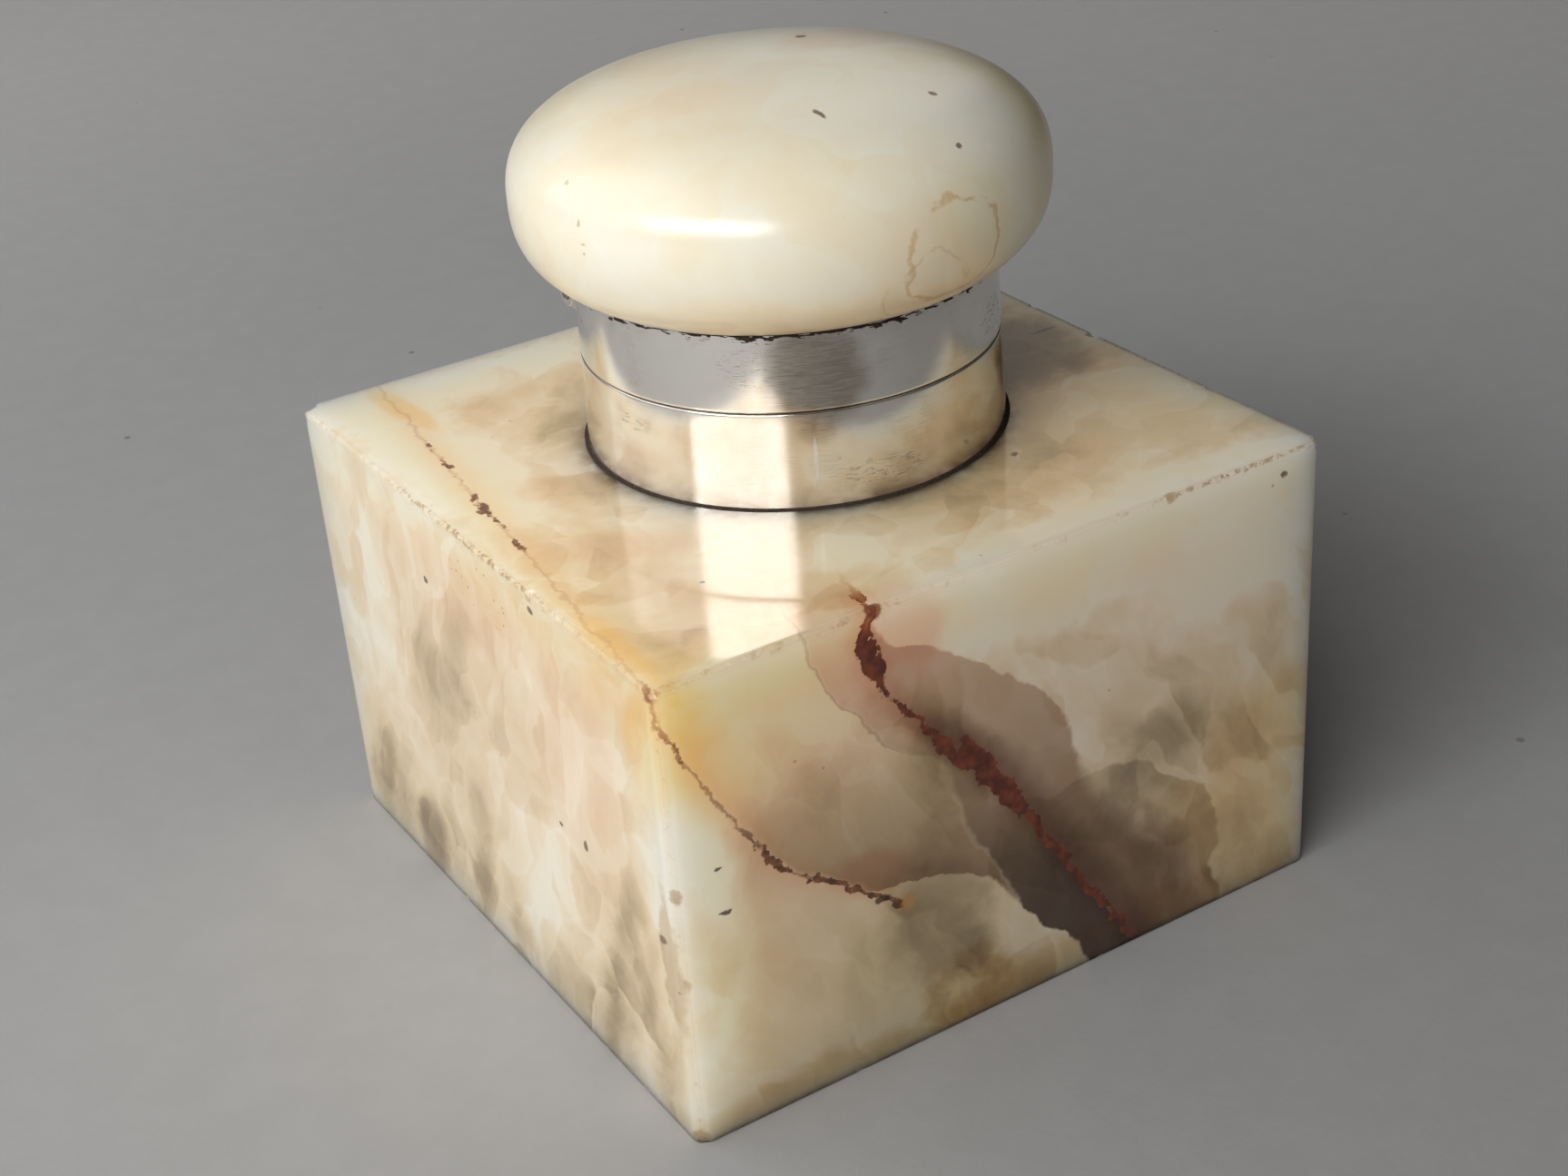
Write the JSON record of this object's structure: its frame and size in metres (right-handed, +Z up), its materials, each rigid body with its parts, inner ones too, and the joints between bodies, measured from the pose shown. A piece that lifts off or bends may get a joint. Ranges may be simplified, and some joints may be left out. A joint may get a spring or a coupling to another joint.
{
  "type": "onyx desk inkwell",
  "caption": "Square polished onyx block with a glass ink pot in its well and a domed onyx lid on a silver collar, hinged at the back.",
  "frame": {"origin": "middle of the block's underside, at the surface that it stands on", "axes": "+Z up; -Y towards the writer, the block's front; +Y towards the hinge; +X to the right seen from the front"},
  "size_m": [0.0762, 0.0762, 0.0872],
  "materials": {
    "onyx_block": "polished onyx, cream with brown and red veins",
    "onyx_lid": "polished ivory onyx",
    "silver": "polished silver with fine scratches",
    "silver_gilt": "silver, warm and dull from ink vapour",
    "hinge_pin": "dull drawn wire",
    "glass": "clear moulded glass",
    "pitch": "dark brown pitch, cracked and dusty"
  },
  "bodies": {
    "base": {"onyx_block": "onyx_block", "collar_pitch": "pitch", "lower_collar": "silver", "bezel_sleeve": "silver_gilt", "hinge_bearer_lower": "silver", "hinge_knuckles_lower": "silver", "hinge_pin": "hinge_pin"},
    "lid": {"lid_collar": "silver", "hinge_bearer_upper": "silver", "hinge_knuckles_upper": "silver", "lid_plate": "silver_gilt", "lid_pitch": "pitch", "onyx_lid": "onyx_lid"},
    "pot": {"ink_pot": "glass"}
  },
  "joints": [
    {"name": "lid_hinge", "type": "hinge", "parent": "base", "child": "lid", "pos_m": [0.0017, 0.0247, 0.0599], "axis": [-1, 0, 0], "range_deg": [0, 114]},
    {"name": "pot_lift", "type": "slide", "parent": "base", "child": "pot", "axis": [0, 0, 1], "range_m": [0, 0.0012]}
  ]
}
